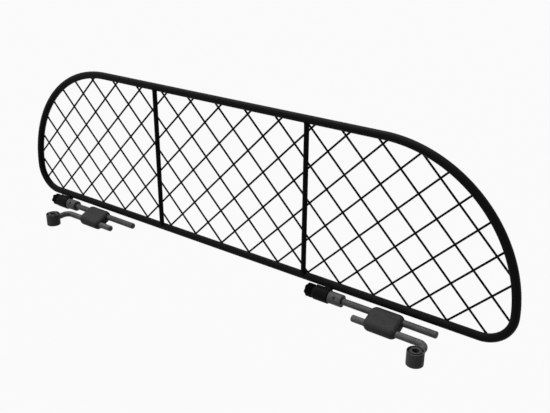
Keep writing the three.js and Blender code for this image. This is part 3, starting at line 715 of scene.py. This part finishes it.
def knob(name):
    """A lobed knob with rounded edges, a dished outer face and a blind bore for the stud."""
    sides = KNOB_LOBES * LOBE_STEPS
    verts, rings = [], []
    sections = [*KNOB_EDGE, *((KNOB_THICKNESS - s, share) for s, share in reversed(KNOB_EDGE))]
    for s, share in sections:
        rings.append(next_ring(verts, sides))
        for i in range(sides):
            a = 2 * math.pi * i / sides
            full = KNOB_RADIUS - KNOB_DIP * (1 - math.cos(KNOB_LOBES * a)) / 2
            r = full * share if share == KNOB_FACE else full - KNOB_RADIUS * (1 - share)
            verts.append((s - KNOB_THICKNESS - SEAT_GAP, r * math.cos(a), r * math.sin(a)))
    made = new_object(name, verts, bands(rings) + end_faces(rings), KNOB_CREASE)
    outside = -KNOB_THICKNESS - 2
    floor = -KNOB_THICKNESS - SEAT_GAP + DISH_DEPTH
    dish = [(outside, 0), (outside, DISH_RIM), (floor, DISH_FLOOR), (floor, 0)]
    dish = lathe("dish", fillet(dish, DISH_ROUNDING, steps=3), sides=64)
    boolean(made, dish, crease=KNOB_CREASE)
    bore = cylinder("bore", KNOB_WALL - KNOB_THICKNESS - SEAT_GAP, 2, STUD_BORE, sides=40)
    return boolean(made, bore, crease=KNOB_CREASE)


def knob_stud(name):
    start, end = KNOB_WALL - KNOB_THICKNESS, ROD_START + STUD_DEPTH - SEAT_GAP
    points = [(start, 0), (start, STUD_RADIUS - STUD_CHAMFER), (start + STUD_CHAMFER, STUD_RADIUS)]
    points += thread(start + STUD_PITCH, end - STUD_PITCH, STUD_PITCH, STUD_RADIUS, STUD_THREAD)
    points += [(end - STUD_CHAMFER, STUD_RADIUS), (end, STUD_RADIUS - STUD_CHAMFER), (end, 0)]
    return lathe(name, points, sides=40)


def rod_end():
    """(way from the tip, radius) over the rounded edge of a rod's free end."""
    points = []
    for i in range(ROUND_STEPS + 1):
        a = (i / ROUND_STEPS) * QUARTER
        radius = ROD_RADIUS - ROD_ROUND + ROD_ROUND * math.sin(a)
        points.append((ROD_ROUND * (1 - math.cos(a)), radius))
    return points


def upper_rod(name):
    """The straight rod, with the stud's hole in its outer end."""
    floor = ROD_START + STUD_DEPTH
    points = [
        (floor, 0), (floor, STUD_BORE), (ROD_START, STUD_BORE),
        (ROD_START, ROD_RADIUS - ROD_CHAMFER), (ROD_START + ROD_CHAMFER, ROD_RADIUS),
    ]
    points += [(ROD_START + (ROD_TIP - ROD_START) * k / ROD_SPANS, ROD_RADIUS)
               for k in range(1, ROD_SPANS)]
    points += [(ROD_TIP - way, radius) for way, radius in reversed(rod_end())]
    points.append((ROD_TIP, 0))
    return lathe(name, points, sides=48, crease=50)


def stand_grub(piece):
    """Stands a screw or its hole, drawn along X from the rod's axis outwards, in the collar."""
    turned(upright(piece), GRUB_HEADING, "X")
    return place(piece, Matrix.Translation((COLLAR_START + COLLAR_LENGTH / 2, 0, 0)))


def collar(name):
    end = COLLAR_START + COLLAR_LENGTH
    profile = [
        (COLLAR_START, COLLAR_BORE), (COLLAR_START, COLLAR_RADIUS),
        (end, COLLAR_RADIUS), (end, COLLAR_BORE),
    ]
    made = lathe(name, fillet(profile, COLLAR_ROUNDING, steps=5), sides=64, closed=True)
    boolean(made, stand_grub(cylinder("hole", 2, 12, GRUB_BORE, sides=32)))
    return bevelled(made, width=0.25, segments=2, limit=50)


def grub(name, tip, end):
    """A grub screw with a hexagon socket in its outer end."""
    points = [
        (tip, 0), (tip, GRUB_RADIUS - GRUB_TIP_CHAMFER), (tip + GRUB_TIP_CHAMFER, GRUB_RADIUS),
        (end - GRUB_HEAD_CHAMFER, GRUB_RADIUS), (end, GRUB_RADIUS - GRUB_HEAD_CHAMFER), (end, 0),
    ]
    floor = end - GRUB_SOCKET_DEPTH
    socket = prism("socket", hexagon(GRUB_SOCKET), floor, end + 2, "X")
    return boolean(lathe(name, points, sides=36), socket)


# Rod clamp, drawn with X along the rods, Y from the lower rod to the upper one and Z forwards

ROD_SPACING = 23.4  # between the axes of the two rods
CLAMP_TILT = math.radians(24)  # from the upper rod, the lower one is in front and this much below
CLAMP_LENGTH, CLAMP_HEIGHT, CLAMP_DEPTH = 59.6, 43.8, 21.3
CLAMP_CORNER = 11.0
CLAMP_SPLIT = 0.5  # from the middle to the flat side of each half
CLAMP_BORE = ROD_RADIUS + 0.12
CLAMP_CREASE = 50
CROWN_DEPTH, CROWN_INSET, CROWN_STEPS = 9.6, 9.2, 14  # the curve of a face towards its edge
CORNER_STEPS = 10

BOLT_SPACING = 26.0
BOLT_RADIUS, BOLT_TIP = 2.5, 8.2
BOLT_BORE = BOLT_RADIUS + SEAT_GAP
BOLT_PITCH, BOLT_THREAD = 0.8, 0.4
BOLT_SHANK = 3.0  # without a thread, under the head
BOLT_SOCKET, BOLT_SOCKET_DEPTH = 4, 2.6
HEAD_RADIUS, HEAD_HEIGHT, HEAD_CHAMFER = 4.2, 5, 0.5
HEAD_SUNK = 0.4  # below the rear half's face

INSERT_START, INSERT_END = 0.5, 8.5
INSERT_COLLAR, INSERT_RADIUS, INSERT_CREST = 3.6, 3.55, 3.9  # in front, between ridges, on one
KNURLS, KNURL_PITCH = 7, 1.05
KNURL_START = INSERT_START + 0.3
KNURL_WIDTH, KNURL_END = 0.75, 0.9  # of a ridge's crest, and where its slope ends
POCKET_RADIUS = 4.0


def rounded_rectangle(half_x, half_y, radius):
    outline = []
    for cx, cy, start in ((1, -1, -QUARTER), (1, 1, 0), (-1, 1, QUARTER), (-1, -1, math.pi)):
        for i in range(CORNER_STEPS + 1):
            a = start + (i / CORNER_STEPS) * QUARTER
            outline.append((cx * (half_x - radius) + radius * math.cos(a),
                            cy * (half_y - radius) + radius * math.sin(a)))
    return outline


def clamp_block(name, facing):
    """Half a pillow: a rounded rectangle whose face curves over towards the edge."""
    verts, rings = [], []
    shoulder = CLAMP_DEPTH / 2 - CROWN_DEPTH
    levels = [(CLAMP_SPLIT, 0.0), (shoulder, 0.0)]
    for i in range(1, CROWN_STEPS + 1):
        a = (i / CROWN_STEPS) * QUARTER
        levels.append((shoulder + CROWN_DEPTH * math.sin(a), CROWN_INSET * (1 - math.cos(a))))
    for z, inset in levels:
        outline = rounded_rectangle(CLAMP_LENGTH / 2 - inset, CLAMP_HEIGHT / 2 - inset,
                                    CLAMP_CORNER - inset)
        rings.append(next_ring(verts, len(outline)))
        verts += [(x, y, facing * z) for x, y in outline]
    return new_object(name, verts, bands(rings) + end_faces(rings), CLAMP_CREASE)


def clamp_half(name, facing):
    """A half with grooves for both rods and two holes, in front for inserts, behind for bolts."""
    half = clamp_block(name, facing)
    reach = CLAMP_LENGTH / 2 + 3
    if facing > 0:
        end = INSERT_END + SEAT_GAP
        points = [(-2, 0), (-2, POCKET_RADIUS), (end, POCKET_RADIUS), (end, 0)]
    else:
        seat = HEAD_SUNK + HEAD_HEIGHT + SEAT_GAP - CLAMP_DEPTH / 2
        recess = HEAD_RADIUS + SEAT_GAP
        points = [
            (-14, 0), (-14, recess), (seat, recess),
            (seat, BOLT_BORE), (2, BOLT_BORE), (2, 0),
        ]
    for side in (-1, 1):
        groove = cylinder("groove", -reach, reach, CLAMP_BORE, sides=64)
        place(groove, Matrix.Translation((0, side * ROD_SPACING / 2, 0)))
        boolean(half, groove, crease=CLAMP_CREASE)
        hole = upright(lathe("hole", points, sides=40))
        place(hole, Matrix.Translation((side * BOLT_SPACING / 2, 0, 0)))
        boolean(half, hole, crease=CLAMP_CREASE)
    return bevelled(half, width=0.4, segments=2, limit=50, crease=CLAMP_CREASE)


def clamp_bolt(name):
    """A socket bolt, from its head in the rear half to its tip in the insert."""
    head = HEAD_SUNK - CLAMP_DEPTH / 2
    seat = head + HEAD_HEIGHT
    points = [
        (head, 0), (head, HEAD_RADIUS - HEAD_CHAMFER), (head + HEAD_CHAMFER, HEAD_RADIUS),
        (seat, HEAD_RADIUS), (seat, BOLT_RADIUS),
    ]
    points += thread(seat + BOLT_SHANK, BOLT_TIP - BOLT_PITCH, BOLT_PITCH, BOLT_RADIUS, BOLT_THREAD)
    points += [(BOLT_TIP - BOLT_THREAD, BOLT_RADIUS), (BOLT_TIP, BOLT_RADIUS - BOLT_THREAD),
               (BOLT_TIP, 0)]
    bolt = lathe(name, points, sides=40)
    boolean(bolt, prism("socket", hexagon(BOLT_SOCKET), head - 2, head + BOLT_SOCKET_DEPTH, "X"))
    return upright(bolt)


def clamp_insert(name):
    """A brass sleeve with ridges round its outside."""
    points = [(INSERT_START, BOLT_BORE), (INSERT_START, INSERT_COLLAR)]
    for i in range(KNURLS):
        x = KNURL_START + i * KNURL_PITCH
        points += [(x, INSERT_CREST), (x + KNURL_WIDTH, INSERT_CREST),
                   (x + KNURL_END, INSERT_RADIUS)]
    points += [(INSERT_END, INSERT_RADIUS), (INSERT_END, BOLT_BORE)]
    return upright(lathe(name, points, sides=36, closed=True))


# Lower rod, drawn with its origin where its axis meets the arm's centreline

ARM_LENGTH = 131.5  # from the free end to the arm's centreline
ARM_REACH = 37.8  # from the rod's axis to the headrest post's
ELBOW, ELBOW_STEPS = 12.5, 20
LOWER_SPANS = 9
ARM_RING = 4.5  # from the arm's end to the next ring
ARM_DEPTH = 2.1  # of the arm's end in the shell of the post clamp
ARM_SOCKET = ROD_RADIUS + 0.1

# Post clamp, drawn with its origin in the middle of its bore

SHELL_RADIUS, SHELL_HEIGHT, SHELL_BORE = 13.5, 23.0, 10.6
SHELL_RIM = 1.3  # thickness of the wall beside the groove
SHELL_ROUNDING = [0.2, 0.15, 0.15, 0.4]  # from the bore over the groove to the outside
SHELL_CREASE = 35
SOCKET_FLOOR = 11.2
RIM_GROOVE = 5.0  # depth of the groove between the bush and the rim at each end

BEAD_RING = ROD_RADIUS + 0.35
BEAD_RADIUS, BEAD_RISE = 0.85, 0.25
BEAD_STEPS, BEAD_SIDES = 96, 10
RIPPLES, RIPPLE_HEIGHT = 26, 0.10

BUSH_RADIUS, BUSH_BORE = SHELL_BORE - 0.12, 5.5
BUSH_NECK = 9.3  # radius inside the groove
BUSH_SLIT = 1.6
BUSH_SUNK = 0.1  # below the rims of the shell
STEP_GAP = 0.1  # between the step's floor and the shell's groove
STEP_RADIUS = 13  # of the cutter, beyond the bush
BUSH_STEPS = 64
BUSH_CREASE = 50


def lower_rod(name):
    """The lower rod, from its free end through the elbow to the end of its arm."""
    stations = [(Vector((way - ARM_LENGTH, 0, 0)), Y_AXIS, Z_AXIS, radius)
                for way, radius in rod_end()]
    for k in range(1, LOWER_SPANS):
        x = ROD_ROUND - ARM_LENGTH + (ARM_LENGTH - ELBOW - ROD_ROUND) * k / LOWER_SPANS
        stations.append((Vector((x, 0, 0)), Y_AXIS, Z_AXIS, ROD_RADIUS))
    for i in range(ELBOW_STEPS + 1):
        a = (i / ELBOW_STEPS) * QUARTER
        across = Vector((math.sin(a), math.cos(a), 0))
        point = Vector((-ELBOW, -ELBOW, 0)) + across * ELBOW
        stations.append((point, across, Z_AXIS, ROD_RADIUS))
    weld = SHELL_RADIUS - ARM_DEPTH - ARM_REACH
    for y in (weld + ARM_RING, weld):
        stations.append((Vector((0, y, 0)), X_AXIS, Z_AXIS, ROD_RADIUS))
    return new_object(name, *sweep(stations, sides=48), crease=50)


def post_shell(name):
    """A sleeve with a groove inside each rim, a socket for the arm and a hole for the screw."""
    top, rim = SHELL_HEIGHT / 2, SHELL_RADIUS - SHELL_RIM
    half = [
        (0, SHELL_BORE), (top - RIM_GROOVE, SHELL_BORE), (top - RIM_GROOVE, rim),
        (top, rim), (top, SHELL_RADIUS), (0, SHELL_RADIUS),
    ]
    upper = fillet(half, SHELL_ROUNDING, steps=5)
    lower = [(-x, r) for x, r in upper[1:-1]][::-1]
    shell = upright(lathe(name, upper + lower, sides=80, closed=True, crease=SHELL_CREASE))
    socket = turned(cylinder("socket", SOCKET_FLOOR, 18, ARM_SOCKET, sides=48), QUARTER, "Z")
    boolean(shell, socket, crease=SHELL_CREASE)
    hole = cylinder("hole", 5, 18, GRUB_BORE, sides=36)
    return boolean(shell, hole, crease=SHELL_CREASE)


def weld_bead(name):
    """A rippled bead where the arm meets the shell of the post clamp."""
    verts, rings = [], []
    for i in range(BEAD_STEPS):
        a = 2 * math.pi * i / BEAD_STEPS
        x0, z0 = BEAD_RING * math.cos(a), BEAD_RING * math.sin(a)
        y0 = math.sqrt(SHELL_RADIUS ** 2 - x0 ** 2)
        r = BEAD_RADIUS * (1 + RIPPLE_HEIGHT * math.sin(RIPPLES * a))
        rings.append(next_ring(verts, BEAD_SIDES))
        for k in range(BEAD_SIDES):
            b = 2 * math.pi * k / BEAD_SIDES
            out = r * math.cos(b)
            y = y0 + BEAD_RISE + r * math.sin(b)
            verts.append((x0 + out * math.cos(a), y, z0 + out * math.sin(a)))
    return new_object(name, verts, bands(rings, loop=True), 60)


def post_bush(name):
    """A slit sleeve that grips the headrest post, with a step for the groove at each end."""
    ring = []
    for radius, way in ((BUSH_RADIUS, 1), (BUSH_BORE, -1)):
        gap = math.asin(BUSH_SLIT / 2 / radius)
        for i in range(BUSH_STEPS + 1):
            along = i / BUSH_STEPS if way > 0 else 1 - i / BUSH_STEPS
            a = math.pi + gap + along * 2 * (math.pi - gap)
            ring.append((radius * math.cos(a), radius * math.sin(a)))
    top = SHELL_HEIGHT / 2
    bush = prism(name, ring, BUSH_SUNK - top, top - BUSH_SUNK, "Z", BUSH_CREASE)
    floor, open_end = top - RIM_GROOVE - STEP_GAP, top + 1
    profile = [
        (floor, BUSH_NECK), (floor, STEP_RADIUS),
        (open_end, STEP_RADIUS), (open_end, BUSH_NECK),
    ]
    for end in (-1, 1):
        step = upright(lathe("step", profile, sides=80, closed=True), end)
        boolean(bush, step, crease=BUSH_CREASE)
    return bevelled(bush, width=0.35, segments=3, limit=60, crease=BUSH_CREASE)


def build_kit(side):
    def fit(piece, spot, coat, body, *nodes):
        dress(place(piece, spot), coat, f"{side}_{body}", *(f"{side}_{node}" for node in nodes))

    rod_y, rod_z = middle(f"{side}_upper_rod")[1:]
    kit = Matrix.Translation((low(f"{side}_frame_clip")[0], rod_y, rod_z))
    fit(frame_clip(f"{side}_hooked_clip"), kit, "clip", "clip", "frame_clip")
    fit(knob(f"{side}_lobed_knob"), kit, "knob", "knob_body", "knob")
    fit(knob_stud(f"{side}_threaded_stud"), kit, "screw", "rod", "knob_stud")
    fit(upper_rod(f"{side}_round_rod"), kit, "rod", "rod", "upper_rod")
    fit(collar(f"{side}_stop_collar"), kit, "collar", "rod", "collar")
    screw = grub(f"{side}_collar_grub", ROD_RADIUS + GRUB_TIP_GAP, COLLAR_RADIUS - COLLAR_GRUB_SUNK)
    fit(stand_grub(screw), kit, "grub", "rod", "collar_screw")

    fall = Vector((0, -math.cos(CLAMP_TILT), -math.sin(CLAMP_TILT)))
    rod_axis = Vector((middle(f"{side}_clamp_front")[0], rod_y, rod_z))
    centre = Matrix.Translation(rod_axis + fall * (ROD_SPACING / 2))
    clamp = centre @ Matrix.Rotation(CLAMP_TILT, 4, "X")
    for half, facing in (("front", 1), ("rear", -1)):
        made = clamp_half(f"{side}_{half}_shell_half", facing)
        fit(made, clamp, "clamp", "clamp", f"clamp_{half}")
    for where, sign in (("outer", -1), ("inner", 1)):
        spot = clamp @ Matrix.Translation((sign * BOLT_SPACING / 2, 0, 0))
        bolt = clamp_bolt(f"{side}_{where}_socket_bolt")
        fit(bolt, spot, "screw", "clamp", f"clamp_bolt_{where}")
        insert = clamp_insert(f"{side}_{where}_brass_insert")
        fit(insert, spot, "insert", "clamp", f"clamp_insert_{where}")

    elbow = Vector((middle(f"{side}_post_shell")[0], rod_y, rod_z))
    arm = Matrix.Translation(elbow + fall * ROD_SPACING)
    if side == "left":
        arm = arm @ Matrix.Rotation(math.pi, 4, "Y")
    post = arm @ Matrix.Translation((0, -ARM_REACH, 0))
    fit(lower_rod(f"{side}_bent_rod"), arm, "arm", "arm", "lower_rod")
    fit(post_shell(f"{side}_post_housing"), post, "shell", "arm", "post_shell")
    fit(weld_bead(f"{side}_arm_weld"), post, "arm", "arm")
    fit(post_bush(f"{side}_split_bush"), post, "bush", "arm", "post_bush")
    screw = grub(f"{side}_post_grub", SHELL_BORE, SHELL_RADIUS - SHELL_GRUB_SUNK)
    fit(screw, post, "grub", "arm", "post_screw")


# Stage, light and camera, in metres

FLOOR_HALF, FLOOR_LEVEL = 60.0, -0.30
FLOOR_GLOW = 0.95  # share of plain white in what the camera sees of the floor; the rest has shadows
SOFT_LIGHT, SHOWN_WHITE = 0.07, 0.96  # the world as a light, and as the camera sees it
SUN_SPREAD = 50

PHOTO_WIDTH, FOCAL_LENGTH = 550, 761.02  # pixels
SENSOR_WIDTH = 36.0
CAMERA_X, CAMERA_Y, CAMERA_Z = 0.8047, -0.9501, 0.6121  # from the middle of the tube's lower run
CAMERA_RIGHT, CAMERA_UP = Vector((0.8028, 0.5962, 0.0062)), Vector((-0.2378, 0.3105, 0.9203))


def seen_ray(tree, path):
    """1 for what the camera sees, also by reflection or through glass."""
    made = path.outputs["Is Camera Ray"]
    for kind in ("Is Glossy Ray", "Is Transmission Ray"):
        either = tree.nodes.new("ShaderNodeMath")
        either.operation = "MAXIMUM"
        tree.links.new(made, either.inputs[0])
        tree.links.new(path.outputs[kind], either.inputs[1])
        made = either.outputs[0]
    return made


def mix_shaders(tree, factor, first, second, target):
    mix = tree.nodes.new("ShaderNodeMixShader")
    tree.links.new(factor, mix.inputs["Fac"])
    tree.links.new(first.outputs[0], mix.inputs[1])
    tree.links.new(second.outputs[0], mix.inputs[2])
    tree.links.new(mix.outputs["Shader"], target.inputs["Surface"])


def white_to_the_camera(made):
    """The floor looks almost white, also in reflections, and keeps a share of its shadows."""
    tree = made.node_tree
    light = tree.nodes.new("ShaderNodeEmission")
    light.inputs["Strength"].default_value = 1.0
    path = tree.nodes.new("ShaderNodeLightPath")
    share = tree.nodes.new("ShaderNodeMath")
    share.operation = "MULTIPLY"
    share.inputs[1].default_value = FLOOR_GLOW
    tree.links.new(seen_ray(tree, path), share.inputs[0])
    shader, out = tree.nodes["Principled BSDF"], tree.nodes["Material Output"]
    mix_shaders(tree, share.outputs[0], shader, light, out)


def build_floor():
    square = ((-1, -1), (1, -1), (1, 1), (-1, 1))
    corners = [(x * FLOOR_HALF, y * FLOOR_HALF, FLOOR_LEVEL) for x, y in square]
    mesh = bpy.data.meshes.new("floor")
    mesh.from_pydata(corners, [], [(0, 1, 2, 3)])
    floor = bpy.data.objects.new("floor", mesh)
    bpy.context.scene.collection.objects.link(floor)
    made = material("pale_floor", (0.14, 0.14, 0.14), roughness=0.9, metallic=0.0, specular=0.1)
    white_to_the_camera(made)
    mesh.materials.append(made)


def build_world():
    """White behind everything, which lights the object only a little."""
    world = bpy.data.worlds.new("studio")
    bpy.context.scene.world = world
    world.use_nodes = True
    tree = world.node_tree
    tree.nodes.clear()
    out = tree.nodes.new("ShaderNodeOutputWorld")
    sides = []
    for strength in (SOFT_LIGHT, SHOWN_WHITE):
        side = tree.nodes.new("ShaderNodeBackground")
        side.inputs["Color"].default_value = (*WHITE, 1)
        side.inputs["Strength"].default_value = strength
        sides.append(side)
    path = tree.nodes.new("ShaderNodeLightPath")
    mix_shaders(tree, seen_ray(tree, path), *sides, out)


def sun(name, strength, direction):
    data = bpy.data.lights.new(name, "SUN")
    data.energy = strength
    data.angle = math.radians(SUN_SPREAD)
    lamp = bpy.data.objects.new(name, data)
    lamp.rotation_euler = Vector(direction).to_track_quat("-Z", "Y").to_euler()
    bpy.context.scene.collection.objects.link(lamp)


def build_camera():
    """The camera of the photograph, as it was solved from the crossings of the mesh."""
    data = bpy.data.cameras.new("photograph")
    data.sensor_fit = "HORIZONTAL"
    data.sensor_width = SENSOR_WIDTH
    data.lens = SENSOR_WIDTH * FOCAL_LENGTH / PHOTO_WIDTH
    data.clip_start, data.clip_end = 0.05, 200
    camera = bpy.data.objects.new("photograph", data)
    right = CAMERA_RIGHT.normalized()
    up = (CAMERA_UP - right * CAMERA_UP.dot(right)).normalized()
    turn = Matrix((right, up, right.cross(up))).transposed().to_4x4()
    spot = (CAMERA_X, TUBE_Y * MM + CAMERA_Y, TUBE_Z * MM + CAMERA_Z)
    camera.matrix_world = Matrix.Translation(spot) @ turn
    bpy.context.scene.collection.objects.link(camera)
    bpy.context.scene.camera = camera


build_panel()
for kit_side in SIDES:
    build_kit(kit_side)
build_floor()
build_world()
sun("overhead", 2.8, (0.30, -0.08, -0.95))
sun("front_fill", 0.5, (0.42, 0.84, -0.34))
build_camera()

scene = bpy.context.scene
scene.view_settings.view_transform = "Standard"
